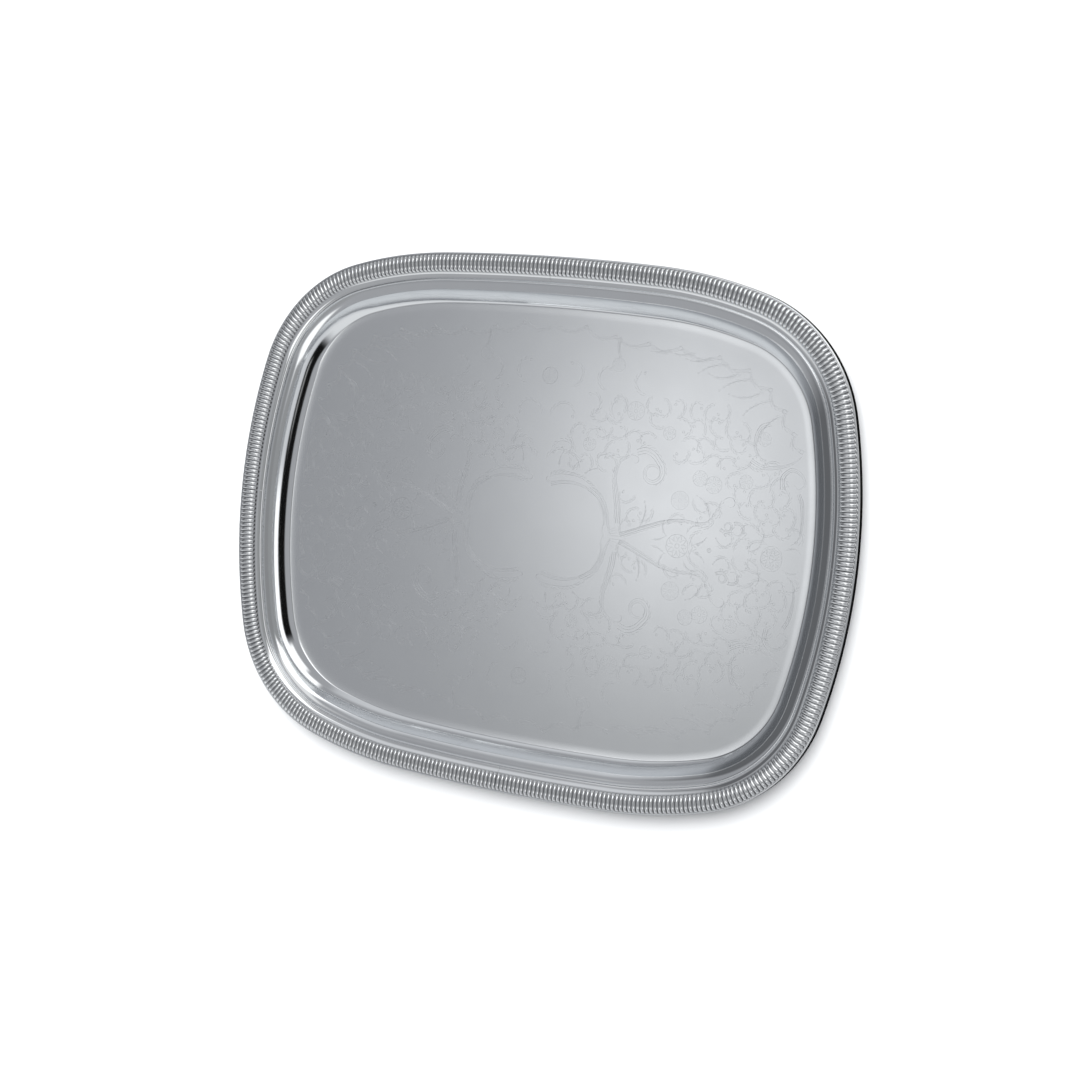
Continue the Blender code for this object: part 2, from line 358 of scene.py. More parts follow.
def noise(material, vector, scale, detail):
    """The value of a noise texture."""
    node = add_node(material, "ShaderNodeTexNoise")
    node.inputs["Scale"].default_value = scale
    node.inputs["Detail"].default_value = detail
    link(material, vector, node.inputs["Vector"])
    return node.outputs["Fac"]


def silver(name, color, roughness, spread, tarnish, scratch_height):
    """Silver plate: cloudy variation of tone and polish, and hair-fine scratches."""
    material, shader = new_material(name, color, roughness)
    place = add_node(material, "ShaderNodeTexCoord").outputs["Object"]

    cloud = noise(material, place, scale=22.0, detail=5.0)
    rough = map_range(material, cloud, roughness - spread, roughness + spread)
    link(material, rough, shader.inputs["Roughness"])

    tone = add_node(material, "ShaderNodeMix", data_type="RGBA")
    tone.inputs["A"].default_value = (*color, 1.0)
    tone.inputs["B"].default_value = (*[c * (1.0 - tarnish) for c in color], 1.0)
    link(material, noise(material, place, scale=60.0, detail=6.0), tone.inputs["Factor"])
    link(material, tone.outputs["Result"], shader.inputs["Base Color"])

    # hair scratches: noise drawn out a hundredfold in one direction
    stretch = add_node(material, "ShaderNodeMapping")
    stretch.inputs["Rotation"].default_value = (0.0, 0.0, math.radians(24.0))
    stretch.inputs["Scale"].default_value = (60.0, 6000.0, 400.0)
    link(material, place, stretch.inputs["Vector"])
    hair = noise(material, stretch.outputs["Vector"], scale=1.0, detail=2.0)
    bump = add_node(material, "ShaderNodeBump")
    bump.inputs["Strength"].default_value = 1.0
    bump.inputs["Distance"].default_value = scratch_height
    link(material, hair, bump.inputs["Height"])
    link(material, bump.outputs["Normal"], shader.inputs["Normal"])
    return material


def fluted_silver(color, shade_and_tarnish_color, roughness):
    """Polished silver plate, darker in its grooves: real tarnish there, and painted shade where the grooves
    lie in shadow.
    """
    material = silver("fluted_silver", color, roughness, spread=0.03, tarnish=0.05, scratch_height=0.0000004)
    shader = material.node_tree.nodes["Principled BSDF"]
    clean = shader.inputs["Base Color"].links[0].from_socket
    # the groove attribute mixes in the dark colour: painted shade as well as tarnish
    grooves = add_node(material, "ShaderNodeAttribute")
    grooves.attribute_name = "tarnish"
    mix = add_node(material, "ShaderNodeMix", data_type="RGBA")
    mix.inputs["B"].default_value = (*shade_and_tarnish_color, 1.0)
    link(material, grooves.outputs["Fac"], mix.inputs["Factor"])
    link(material, clean, mix.inputs["A"])
    link(material, mix.outputs["Result"], shader.inputs["Base Color"])
    return material


def filling_metal():
    """Dull cast metal with a mottled, pitted skin."""
    material, shader = new_material("filling_metal", (0.30, 0.31, 0.32), 0.6)
    place = add_node(material, "ShaderNodeTexCoord").outputs["Object"]
    mottle = noise(material, place, scale=180.0, detail=6.0)
    ramp = add_node(material, "ShaderNodeValToRGB")
    ramp.color_ramp.elements[0].color = (0.22, 0.22, 0.23, 1.0)
    ramp.color_ramp.elements[1].color = (0.38, 0.39, 0.40, 1.0)
    link(material, mottle, ramp.inputs["Fac"])
    link(material, ramp.outputs["Color"], shader.inputs["Base Color"])
    link(material, map_range(material, mottle, 0.5, 0.7), shader.inputs["Roughness"])
    return material


# ---- profiles: lists of (inset, drop) ------------------------------------------------
def arc_profile(start, radius, slope_from, slope_to, steps):
    """Points after start along an upward curve that runs outward, its slope turning between two angles."""
    inset, drop = start
    points = []
    for i in range(1, steps + 1):
        slope = slope_from + (slope_to - slope_from) * i / steps
        points.append((
            inset - radius * (math.sin(slope) - math.sin(slope_from)),
            drop - radius * (math.cos(slope_from) - math.cos(slope)),
        ))
    return points


def rounded(points, corner, radius, steps):
    """Replace one corner of a profile by a round of the given radius."""
    p = np.array(points[corner])
    a = np.array(points[corner - 1]) - p
    b = np.array(points[corner + 1]) - p
    a /= np.linalg.norm(a)
    b /= np.linalg.norm(b)
    half = math.acos(np.clip(np.dot(a, b), -1.0, 1.0)) / 2
    axis = (a + b) / np.linalg.norm(a + b)
    centre = p + axis * radius / math.sin(half)
    start = p + a * radius / math.tan(half) - centre
    end = p + b * radius / math.tan(half) - centre
    turn = math.acos(np.clip(np.dot(start, end) / radius ** 2, -1.0, 1.0))
    made = []
    for i in range(steps + 1):
        t = i / steps
        q = (math.sin((1 - t) * turn) * start + math.sin(t * turn) * end) / math.sin(turn)
        made.append(tuple(centre + q))
    return points[:corner] + made + points[corner + 1:]


def wall_profile():
    """The panel's margin, the tight curve at the wall's foot, and the wall up to its crisp top edge."""
    points = [(WALL_FOOT_INSET + PANEL_EASE, PANEL_DROP)]
    ease_radius = PANEL_EASE / math.sin(PANEL_EASE_SLOPE)
    points += arc_profile(points[-1], ease_radius, 0.0, PANEL_EASE_SLOPE, EASE_STEPS)
    points += arc_profile(points[-1], WALL_FOOT_RADIUS, PANEL_EASE_SLOPE, WALL_FOOT_SLOPE, WALL_STEPS)
    points += arc_profile(points[-1], WALL_RADIUS, WALL_FOOT_SLOPE, WALL_TOP_SLOPE, WALL_STEPS)
    return points


def wall_slopes():
    """The slope at each point of the wall profile."""
    slopes = [PANEL_EASE_SLOPE * i / EASE_STEPS for i in range(EASE_STEPS + 1)]
    for low, high in ((PANEL_EASE_SLOPE, WALL_FOOT_SLOPE), (WALL_FOOT_SLOPE, WALL_TOP_SLOPE)):
        slopes += [low + (high - low) * i / WALL_STEPS for i in range(1, WALL_STEPS + 1)]
    return slopes


def plate_section():
    """The whole section of the plate outside its panel: up the top face, and back along the underside."""
    wall = wall_profile()
    crisp = len(wall) - 1
    top = wall + [(SEAM_INSET, SEAM_DROP), (FLANGE_INSET, FLANGE_DROP)]
    edge = [(BORDER_EDGE_INSET, FLANGE_DROP), (BORDER_EDGE_INSET, FLANGE_DROP + SHEET)]
    band_slope = math.atan2(wall[-1][1] - SEAM_DROP, wall[-1][0] - SEAM_INSET)
    under = [
        (FLANGE_INSET, FLANGE_DROP + SHEET),
        (SEAM_INSET + SHEET * math.sin(band_slope) / 2, SEAM_DROP + SHEET * math.cos(band_slope)),
    ]
    outer = [
        (inset - SHEET * math.sin(slope), drop + SHEET * math.cos(slope))
        for (inset, drop), slope in zip(wall, wall_slopes())
    ]
    # under the crisp edge the two offset faces meet where wall and band cross
    meet = (WALL_TOP_SLOPE + band_slope) / 2
    reach = SHEET / math.cos((WALL_TOP_SLOPE - band_slope) / 2)
    outer[-1] = (wall[-1][0] - reach * math.sin(meet), wall[-1][1] + reach * math.cos(meet))
    section = top + edge + under + outer[::-1]
    # the line along the crisp edge; short faces on either side keep the shading of the broad ones
    inset, drop = section[crisp]
    slot = [
        (inset + SLOT_WIDTH * math.cos(WALL_TOP_SLOPE), drop + SLOT_WIDTH * math.sin(WALL_TOP_SLOPE)),
        (inset, drop),
        (inset, drop + SLOT_DEPTH),
        (inset - SLOT_WIDTH, drop + SLOT_DEPTH),
    ]
    for widths in (1.0, 1.2, 2.2):
        slot.append((inset - SLOT_WIDTH * widths, drop - SLOT_WIDTH * widths * math.tan(band_slope)))
    return section[:crisp] + slot + section[crisp + 1:]


# ---- the pieces ----------------------------------------------------------------------
def make_plate(satin, polished):
    """The pressed plate: a satin panel, and a polished wall, band and flange."""
    stations = all_round(PLATE_STEPS)
    columns = stations.shape[1]
    section = sweep(stations, plate_section())
    rim = section[0]
    # the panel is drawn as shrinking copies of its own edge
    scales = np.linspace(1.0, 0.0, PANEL_RINGS + 1)[1:-1]
    top = []
    bottom = []
    for scale in scales:
        ring = rim * (scale, scale, 1.0)
        top.append(ring)
        bottom.append(ring - (0.0, 0.0, SHEET))
    middle_top = np.array([[0.0, 0.0, PANEL_TOP]])
    middle_bottom = np.array([[0.0, 0.0, PANEL_TOP - SHEET]])
    points = np.concatenate([
        np.concatenate(top[::-1]), section.reshape(-1, 3), np.concatenate(bottom), middle_top, middle_bottom
    ])
    rows = 2 * len(scales) + len(section)
    faces = grid_faces(rows, columns, False, True).tolist()
    last_row = (rows - 1) * columns
    centre_top = rows * columns
    centre_bottom = centre_top + 1
    for i in range(columns):
        j = (i + 1) % columns
        faces.append([centre_top, i, j])
        faces.append([centre_bottom, last_row + j, last_row + i])
    obj = add_piece("plate", points, faces, [satin, polished], ["tray_plate"])
    polished_from = len(scales) + EASE_STEPS
    polished_to = len(scales) + len(section)
    material_index = np.zeros(len(faces), np.int32)
    row_of_face = np.arange(len(faces)) // columns
    material_index[(row_of_face >= polished_from) & (row_of_face < polished_to)] = 1
    material_index[last_row:] = 0           # the two fans at the middle
    obj.data.polygons.foreach_set("material_index", material_index)


def crest_drop(t):
    """Drop of the line over the flutes' tops: t runs from their inner ends to their outer ends."""
    base = FLUTE_INNER_DROP + (FLUTE_OUTER_DROP - FLUTE_INNER_DROP) * t
    hump = (FLUTE_RISE + (FLUTE_INNER_DROP + FLUTE_OUTER_DROP) / 2) * (1 - abs(2 * t - 1) ** 3)
    return base - hump


def round_top(v, depth):
    """Height of a round ridge over its groove, for v from 0 at its middle to 1 at the groove."""
    half = QUARTER_PACE / FLUTES_PER_QUARTER / 2
    radius = (half ** 2 + depth ** 2) / (2 * depth)
    v = np.clip(v, 0.0, 1.0)
    return np.sqrt(radius ** 2 - (v * half) ** 2) - (radius - depth)


def flute_steps(span):
    """Steps along a flute, from 0 at its inner end to 1 at its outer end, closer together at both."""
    inner = INNER_NOSE / span
    outer = 1 - OUTER_NOSE / span
    return np.concatenate([
        inner * (1 - np.cos(np.linspace(0.0, QUARTER_TURN, INNER_NOSE_STEPS + 1))),
        np.linspace(inner, outer, FLUTE_STEPS + 1)[1:-1],
        outer + (1 - outer) * np.sin(np.linspace(0.0, QUARTER_TURN, OUTER_NOSE_STEPS + 1)),
    ])


def flute_floor(t, span):
    """Drop of the grooves between the flutes."""
    inner = INNER_NOSE / span
    outer = 1 - OUTER_NOSE / span
    if t > outer:
        start = crest_drop(outer) + FLUTE_DEPTH
        return start + (LIP_LEDGE_DROP - start) * (t - outer) / (1 - outer)
    depth = FLUTE_DEPTH * math.sin(min(1.0, t / inner) * QUARTER_TURN)
    return crest_drop(t) + depth


def flute_end(t, span):
    """How far into the round nose at either end of a flute: 0 along its straight part, 1 at its tips."""
    return max(0.0, 1 - t * span / INNER_NOSE, 1 - (1 - t) * span / OUTER_NOSE)


def make_border_mount(quarter, signs, fluted):
    """One stamped length of border: a cove, the round flutes, and a wall turned down at the outside."""
    pitch = QUARTER_PACE / FLUTES_PER_QUARTER
    across = np.concatenate([FLUTE_SAMPLES] * FLUTES_PER_QUARTER + [[-1.0]])
    index = np.repeat(np.arange(FLUTES_PER_QUARTER), len(FLUTE_SAMPLES))
    paces = np.append((index + 0.5) * pitch + across[:-1] * pitch / 2, QUARTER_PACE)
    paces = np.clip(paces, JOINT_GAP / 2, QUARTER_PACE - JOINT_GAP / 2)
    stations = mirrored(quarter_stations(paces), signs)
    u = np.abs(across if signs[0] * signs[1] > 0 else across[::-1])

    span = FLUTE_INNER_INSET - MOUNT_OUTER_INSET
    profile = []
    shade = []                              # painted shade and tarnish at each point; the tarnish is left where a cloth doesn't reach
    cove_run = COVE_INSET - FLUTE_INNER_INSET
    for t in np.linspace(0.0, 1.0, COVE_STEPS + 1)[:-1]:
        shade.append(np.zeros(len(u)))
        profile.append((COVE_INSET - cove_run * t, COVE_DROP + (FLUTE_INNER_DROP - COVE_DROP) * t * t))
    for t in flute_steps(span):
        end = flute_end(t, span)
        reach = np.minimum(np.sqrt(u ** 2 + end ** 2), 1.0)
        dark = np.clip((reach - SHADE_AND_TARNISH_FROM) / (1 - SHADE_AND_TARNISH_FROM), 0.0, 1.0)
        shade.append(dark * (1 - SHADE_AND_TARNISH_EASED_AT_TIPS * end))
        profile.append((FLUTE_INNER_INSET - span * t, flute_floor(t, span) - round_top(reach, FLUTE_TOP)))
    outer_floor = FLANGE_DROP - GAP
    profile.append((MOUNT_OUTER_INSET, outer_floor))
    # back along the underside
    profile.append((MOUNT_OUTER_INSET + MOUNT_SKIN, outer_floor))
    for t in np.linspace(UNDERSIDE_STARTS, 0.0, UNDERSIDE_STEPS):
        profile.append((FLUTE_INNER_INSET - span * t, flute_floor(t, span) + SKIN_UNDER_FLUTES))
    profile.append((FLUTE_INNER_INSET + cove_run / 2, COVE_DROP + SKIN_UNDER_FLUTES))
    profile.append((COVE_INSET, COVE_DROP + SKIN_AT_COVE))
    shade += [np.ones(len(u))] * (len(profile) - len(shade))

    points = sweep(stations, profile)
    rows, columns = points.shape[:2]
    faces = grid_faces(rows, columns, True, False).tolist()
    faces.append([r * columns for r in range(rows)])
    faces.append([r * columns + columns - 1 for r in reversed(range(rows))])
    name = "fluted_border_" + quarter
    obj = add_piece(name, points, faces, [fluted], ["border_mount_" + quarter])
    # the attribute named tarnish holds painted shade in the grooves and underside as well as real tarnish
    tarnish = obj.data.attributes.new("tarnish", "FLOAT", "POINT")
    tarnish.data.foreach_set("value", np.array(shade).ravel())


def closed_ring(name, section, polished, replaced):
    """A polished piece that runs all the way round with one closed section."""
    points = sweep(all_round(PLATE_STEPS), section)
    rows, columns = points.shape[:2]
    faces = grid_faces(rows, columns, True, True).tolist()
    add_piece(name, points, faces, [polished], [replaced])


def make_edge_band(polished):
    """The strip round the outside, with a round lip."""
    section = [
        (BAND_WIDTH, BAND_DEPTH - BAND_FOOT_ROUNDING), (BAND_WIDTH, FLANGE_DROP), (LIP_WIDTH, FLANGE_DROP),
        (LIP_WIDTH, 0.0), (0.0, 0.0), (0.0, BAND_DEPTH),
    ]
    section = rounded(section, corner=4, radius=LIP_ROUNDING, steps=8)
    section = rounded(section, corner=3, radius=LIP_INNER_ROUNDING, steps=3)
    section[-1] = (0.0, BAND_DEPTH - BAND_FOOT_ROUNDING)
    section += [(BAND_FOOT_ROUNDING, BAND_DEPTH), (BAND_WIDTH - BAND_FOOT_ROUNDING, BAND_DEPTH)]
    closed_ring("lip_band", section, polished, "edge_band")


def make_seam_wire(polished):
    """The bead that fills the seam between the plate's wall and the border."""
    section = []
    for i in range(BEAD_SIDES):
        a = -2 * math.pi * i / BEAD_SIDES
        section.append((WIRE_INSET + BEAD_RADIUS * math.cos(a), WIRE_DROP + BEAD_RADIUS * math.sin(a)))
    closed_ring("seam_bead", section, polished, "seam_wire")


# ---- the chased pattern --------------------------------------------------------------
# Drawn for the quarter where x and y are positive, in units of the salver's half length, and mirrored.


def smooth(points):
    """A smooth curve through a few points."""
    p = np.array([points[0], *points, points[-1]], float)
    made = []
    for a, b, c, d in zip(p, p[1:], p[2:], p[3:]):
        count = max(2, int(np.hypot(*(c - b)) / CHASE_STEP))
        for t in np.arange(count) / count:
            made.append(
                0.5 * (2 * b + (c - a) * t + (2 * a - 5 * b + 4 * c - d) * t ** 2
                       + (3 * b - a - 3 * c + d) * t ** 3)
            )
    made.append(p[-1])
    return np.array(made)


def curl(start, heading, length, turn, power=1.0):
    """A curve that turns through an angle in all; with a power above 1 it turns ever faster."""
    count = max(5, int(length / CHASE_STEP), int(abs(turn) / CHASE_TURN_STEP))
    t = (np.arange(count) + 0.5) / count
    angle = np.radians(heading + turn * t ** power)
    steps = np.stack([np.cos(angle), np.sin(angle)], axis=1) * length / count
    return np.concatenate([[start], np.array(start) + np.cumsum(steps, axis=0)])


def headings(curve):
    """Direction of a curve at each of its points, in degrees."""
    run = np.gradient(curve, axis=0)
    return np.degrees(np.arctan2(run[:, 1], run[:, 0]))


class Chasing:
    """Collects the lines of one quarter of the pattern."""

    def __init__(self):
        self.lines = []

    def line(self, curve, width=LINE, blunt_start=False):
        """One stroke of the tool: widest at its middle and pointed at its ends."""
        t = np.linspace(0.0, 1.0, len(curve))
        shape = np.sin(np.pi * (0.5 + t / 2 if blunt_start else t)) ** STROKE_FULLNESS
        self.lines.append((np.asarray(curve), width * (STROKE_TIP + (1 - STROKE_TIP) * shape)))

    def leaves(self, curve, side, size, spacing, lean=48.0, width=FINE_LINE, shrink=0.5):
        """Comma-shaped leaves along one side of a curve, smaller towards its end."""
        lengths = np.hypot(*np.diff(curve, axis=0).T)
        along = np.concatenate([[0.0], np.cumsum(lengths)])
        heading = headings(curve)
        count = int(along[-1] / spacing)
        for i in range(count):
            share = (i + 0.5) / count
            k = np.searchsorted(along, share * along[-1])
            length = size * (1 - shrink * share)
            self.line(curl(curve[k], heading[k] + side * lean, length, -side * LEAF_TURN), width)

    def frond(self, start, heading, length, turn, size, width=LINE):
        """A stem with leaves on both sides and a curled end."""
        stem = curl(start, heading, length, turn, power=1.6)
        self.line(stem, width)
        for side in (1, -1):
            self.leaves(stem, side, size, spacing=size * 0.62, lean=42.0, width=HAIR_LINE, shrink=0.65)

    def ring(self, centre, radius, width=FINE_LINE):
        """A circle of even width."""
        angle = np.linspace(0.0, 2 * np.pi, max(10, int(radius * 1500)) + 1)
        curve = np.array(centre) + radius * np.stack([np.cos(angle), np.sin(angle)], axis=1)
        self.lines.append((curve, np.full(len(curve), width)))

    def rosette(self, centre, radius, petals):
        """A flower: a small ring with round petals about it."""
        self.ring(centre, radius * 0.22, HAIR_LINE)
        foot_radius = radius * 0.34
        petal_length = radius * 0.95
        for i in range(petals):
            heading = 360.0 * i / petals
            a = math.radians(heading)
            foot = (centre[0] + foot_radius * math.cos(a), centre[1] + foot_radius * math.sin(a))
            for side in (1, -1):
                self.line(curl(foot, heading + side * 52.0, petal_length, turn=-side * 125.0), HAIR_LINE)

    def volute(self, curve, side, gap=0.009):
        """A broad scroll: three parallel lines that close up towards its eye."""
        normal = np.radians(headings(curve) + side * 90.0)
        across = np.stack([np.cos(normal), np.sin(normal)], axis=1)
        narrow = (1 - np.linspace(0.0, 1.0, len(curve)) ** 2)[:, None]
        self.line(curve, LINE, blunt_start=True)
        self.line(curve + across * narrow * gap, FINE_LINE, blunt_start=True)
        self.line(curve + across * narrow * gap * 1.9, LINE, blunt_start=True)

    def hatching(self, curve, side, length, spacing):
        """Short shading strokes that stand out from a curve."""
        self.leaves(curve, side, length, spacing, lean=80.0, width=HAIR_LINE, shrink=0.2)


def chase_cartouche(art):
    """The plain middle field's frame: feathered C-scrolls with a clasp at the end."""
    art.line(curl((0.036, 0.140), 200.0, 0.030, -230.0, 1.4))
    crown = smooth([(0.030, 0.152), (0.060, 0.164), (0.100, 0.165), (0.137, 0.159), (0.172, 0.140)])
    art.line(crown)
    art.leaves(crown, 1, 0.030, 0.011, 60.0)
    art.leaves(crown, 1, 0.018, 0.008, 85.0, HAIR_LINE)
    shoulder = smooth([(0.040, 0.128), (0.080, 0.138), (0.125, 0.138), (0.165, 0.126), (0.190, 0.106)])
    art.volute(shoulder, 1, 0.005)
    cheek = smooth([(0.165, 0.136), (0.200, 0.112), (0.222, 0.078), (0.232, 0.040), (0.240, 0.012)])
    art.volute(cheek, -1, 0.005)
    art.leaves(cheek, 1, 0.026, 0.012, 55.0)
    art.leaves(cheek, 1, 0.016, 0.008, 85.0, HAIR_LINE)
    inner = smooth([(0.196, 0.102), (0.214, 0.074), (0.222, 0.042), (0.219, 0.016), (0.226, 0.000)])
    art.line(inner, FINE_LINE)
    art.hatching(inner, -1, 0.008, 0.006)
    # the clasp: hair lines that fan out along the axis
    for k in range(4):
        art.line(curl((0.236, 0.002 + 0.004 * k), 12.0 + 10.0 * k, 0.050 - 0.006 * k, -20.0), HAIR_LINE)
    for x, y, heading in ((0.100, 0.178, 62.0), (0.060, 0.180, 96.0), (0.140, 0.170, 44.0)):
        art.frond((x, y), heading, 0.055, -46.0, 0.014, FINE_LINE)


def chase_great_scrolls(art):
    """The pair of broad volutes beside the cartouche, and the long stems that run out from its clasp."""
    volute = np.concatenate([
        smooth([(0.300, 0.262), (0.330, 0.270), (0.360, 0.258), (0.388, 0.227)]),
        curl((0.388, 0.227), -66.0, 0.245, -455.0, 1.25),
    ])
    art.volute(volute, -1)
    art.leaves(volute[: len(volute) // 2], 1, 0.026, 0.014)
    back = smooth([
        (0.258, 0.042), (0.257, 0.080), (0.248, 0.122), (0.239, 0.172), (0.250, 0.218), (0.286, 0.242),
    ])
    art.volute(back, -1, 0.006)
    art.leaves(back, 1, 0.028, 0.013)
    art.line(curl((0.286, 0.242), 20.0, 0.050, -230.0, 1.5))
    stem = smooth([
        (0.276, 0.006), (0.320, 0.024), (0.362, 0.042), (0.410, 0.061), (0.462, 0.072),
        (0.505, 0.070), (0.538, 0.078), (0.558, 0.104), (0.576, 0.138),
    ])
    art.volute(stem, 1, 0.005)
    art.leaves(stem, -1, 0.022, 0.013)
    art.leaves(stem, 1, 0.032, 0.015)
    art.line(curl((0.576, 0.138), 66.0, 0.085, -300.0, 1.5))
    art.frond((0.545, 0.086), 100.0, 0.085, 70.0, 0.022)
    art.frond((0.330, 0.034), 62.0, 0.085, 52.0, 0.022)


def chase_blossoms(art):
    """Flowers and the small open field with its ring, on and near the long axis."""
    art.ring(OPEN_FIELD, 0.0060)
    art.ring(OPEN_FIELD, 0.0026, HAIR_LINE)
    for centre, radius, petals in BLOSSOMS:
        art.rosette(centre, radius, petals)
        art.ring(centre, radius * 1.12, HAIR_LINE)
    hook = curl((0.578, 0.060), -28.0, 0.110, 400.0, 1.5)
    art.volute(hook, 1, 0.004)
    art.leaves(hook[: len(hook) // 2], -1, 0.022, 0.011)
    art.volute(curl((0.618, 0.088), 20.0, 0.088, -250.0, 1.2), -1, 0.004)
    for x, y, heading, turn in (
        (0.500, 0.010, 10.0, 60.0), (0.610, 0.012, 170.0, -60.0), (0.665, 0.010, 10.0, 70.0),
        (0.700, 0.034, 60.0, 80.0), (0.772, 0.026, 30.0, -80.0), (0.420, 0.022, 130.0, -70.0),
        (0.372, 0.008, 6.0, 40.0), (0.478, 0.036, 70.0, -90.0),
    ):
        art.frond((x, y), heading, 0.052, turn, 0.016, FINE_LINE)


def chase_end_scrolls(art):
    """Scrollwork towards the short side."""
    eye = [
        (0.741, 0.196), (0.740, 0.233), (0.768, 0.258), (0.802, 0.243), (0.812, 0.214), (0.792, 0.200),
        (0.778, 0.216),
    ]
    across = [(0.645, 0.262), (0.680, 0.247), (0.722, 0.250), (0.768, 0.268), (0.797, 0.298)]
    outside = [(0.690, 0.380), (0.662, 0.366), (0.650, 0.330), (0.656, 0.292), (0.690, 0.268)]
    for points, side in ((eye, -1), (across, 1), (outside, 1)):
        art.volute(smooth(points), side, 0.006)
    edge = smooth([(0.800, 0.190), (0.813, 0.160), (0.818, 0.110), (0.812, 0.066), (0.796, 0.046)])
    art.volute(edge, -1, 0.005)
    art.leaves(edge, -1, 0.024, 0.012)


def chase_foliage(art):
    """Small leafy scrolls between the larger figures, each turned from the one before."""
    kept_clear = [(centre, radius + BLOSSOM_MARGIN) for centre, radius, _ in BLOSSOMS]
    kept_clear += FOLIAGE_KEEPS_CLEAR
    for row in range(FOLIAGE_ROWS):
        for column in range(FOLIAGE_COLUMNS):
            x = FOLIAGE_START[0] + FOLIAGE_STEP * column + FOLIAGE_SHIFT * (row % 2)
            y = FOLIAGE_START[1] + FOLIAGE_STEP * row
            if any(math.hypot(x - cx, y - cy) < radius for (cx, cy), radius in kept_clear):
                continue
            if math.hypot(x / CARTOUCHE_HALF_SIZE[0], y / CARTOUCHE_HALF_SIZE[1]) < 1.0:
                continue
            if math.hypot(x - FOLIAGE_MIDDLE, y) > FOLIAGE_REACH:
                continue
            side = -1 if (row + column) % 2 else 1
            heading = 47.0 * row + 83.0 * column
            scroll = curl((0.0, 0.0), heading, length=0.092, turn=-side * 230.0, power=2.3)
            scroll += np.array((x, y)) - scroll.mean(axis=0)
            art.line(scroll, FINE_LINE)
            art.leaves(scroll, side, size=0.021, spacing=0.0100)
            art.leaves(scroll, -side, size=0.012, spacing=0.0120, lean=60.0, width=HAIR_LINE)
            art.ring(scroll[-1], 0.0036, HAIR_LINE)


def chase_long_side(art):
    """Lighter scrollwork between the cartouche and the long side."""
    for x, y, heading, length, turn in (
        (0.012, 0.200, 60.0, 0.120, -170.0), (0.110, 0.230, 120.0, 0.110, 170.0),
        (0.170, 0.220, 40.0, 0.105, -170.0), (0.210, 0.270, 110.0, 0.110, 180.0),
        (0.012, 0.330, 70.0, 0.120, -180.0), (0.130, 0.340, 20.0, 0.110, 180.0),
        (0.240, 0.330, 150.0, 0.110, -180.0), (0.070, 0.420, 30.0, 0.110, 170.0),
        (0.190, 0.420, 150.0, 0.100, -170.0), (0.320, 0.420, 170.0, 0.100, -170.0),
    ):
        scroll = curl((x, y), heading, length, turn, 1.6)
        art.line(scroll, FINE_LINE)
        side = -1 if turn > 0 else 1
        art.leaves(scroll, side, 0.026, 0.014)
        art.ring(scroll[-1], 0.0035, HAIR_LINE)
    drop = smooth([(0.212, 0.590), (0.210, 0.556), (0.218, 0.520)])
    art.line(drop)
    for side in (1, -1):
        art.leaves(drop, side, size=0.020, spacing=0.008)


def chase_garland(art):
    """Swags along the panel's margin, tied at intervals, and the sprays in the corner."""
    ties = [
        (0.0, 0.596), (0.100, 0.600), (0.196, 0.578), (0.300, 0.566), (0.400, 0.562), (0.520, 0.545),
        (0.610, 0.516), (0.680, 0.468), (0.728, 0.412), (0.762, 0.352), (0.790, 0.306),
    ]
    for (x0, y0), (x1, y1) in zip(ties, ties[1:]):
        run = np.array([x1 - x0, y1 - y0])
        inward = np.array([run[1], -run[0]]) / np.hypot(*run)
        middle = np.array([(x0 + x1) / 2, (y0 + y1) / 2])
        swag = smooth([(x0, y0), tuple(middle + inward * 0.017), (x1, y1)])
        art.line(swag, FINE_LINE)
        for side in (1, -1):
            art.leaves(swag, side, size=0.017, spacing=0.0085, lean=50.0, width=HAIR_LINE, shrink=0.0)
        art.ring((x1, y1), 0.0062)
    for x, y, heading, length, turn in (
        (0.730, 0.404, 205.0, 0.100, 60.0), (0.700, 0.440, 190.0, 0.110, 50.0),
        (0.672, 0.470, 215.0, 0.120, -60.0), (0.640, 0.494, 185.0, 0.120, 40.0),
        (0.600, 0.515, 212.0, 0.115, -60.0), (0.560, 0.530, 185.0, 0.105, 36.0),
        (0.510, 0.546, 205.0, 0.095, -46.0), (0.455, 0.555, 200.0, 0.085, -40.0),
        (0.380, 0.560, 205.0, 0.070, -40.0),
    ):
        art.frond((x, y), heading, length, turn, 0.026)


def line_mesh(lines, scale):
    """Low closed ridges over the lines, each with three points across: two feet and a crest."""
    points = []
    faces = []
    for curve, widths in lines:
        run = np.gradient(curve, axis=0)
        run /= np.maximum(np.hypot(*run.T), 1e-9)[:, None]
        side = np.stack([-run[:, 1], run[:, 0]], axis=1) * widths[:, None] / 2
        first = len(points)
        for centre, half, width in zip(curve, side, widths):
            rise = LINE_RISE * width / LINE
            for (x, y), height in ((centre + half, -LINE_ROOT), (centre, rise), (centre - half, -LINE_ROOT)):
                points.append((x * scale, y * scale, PANEL_TOP + height))
        for k in range(len(curve) - 1):
            a = first + 3 * k
            for i in range(3):
                j = (i + 1) % 3
                faces.append([a + i, a + j, a + 3 + j, a + 3 + i])
        last = first + 3 * (len(curve) - 1)
        faces.append([first + 2, first + 1, first])
        faces.append([last, last + 1, last + 2])
    return np.array(points), faces


def make_chasing(metal):
    """The chased pattern, drawn once and mirrored into the four quarters."""
    art = Chasing()
    chase_cartouche(art)
    chase_great_scrolls(art)
    chase_blossoms(art)
    chase_end_scrolls(art)
    chase_foliage(art)
    chase_long_side(art)
    chase_garland(art)
    points, faces = line_mesh(art.lines, HALF_LENGTH)
    for quarter, signs in QUARTERS:
        add_piece("chased_pattern_" + quarter, points * (*signs, 1), faces, [metal])


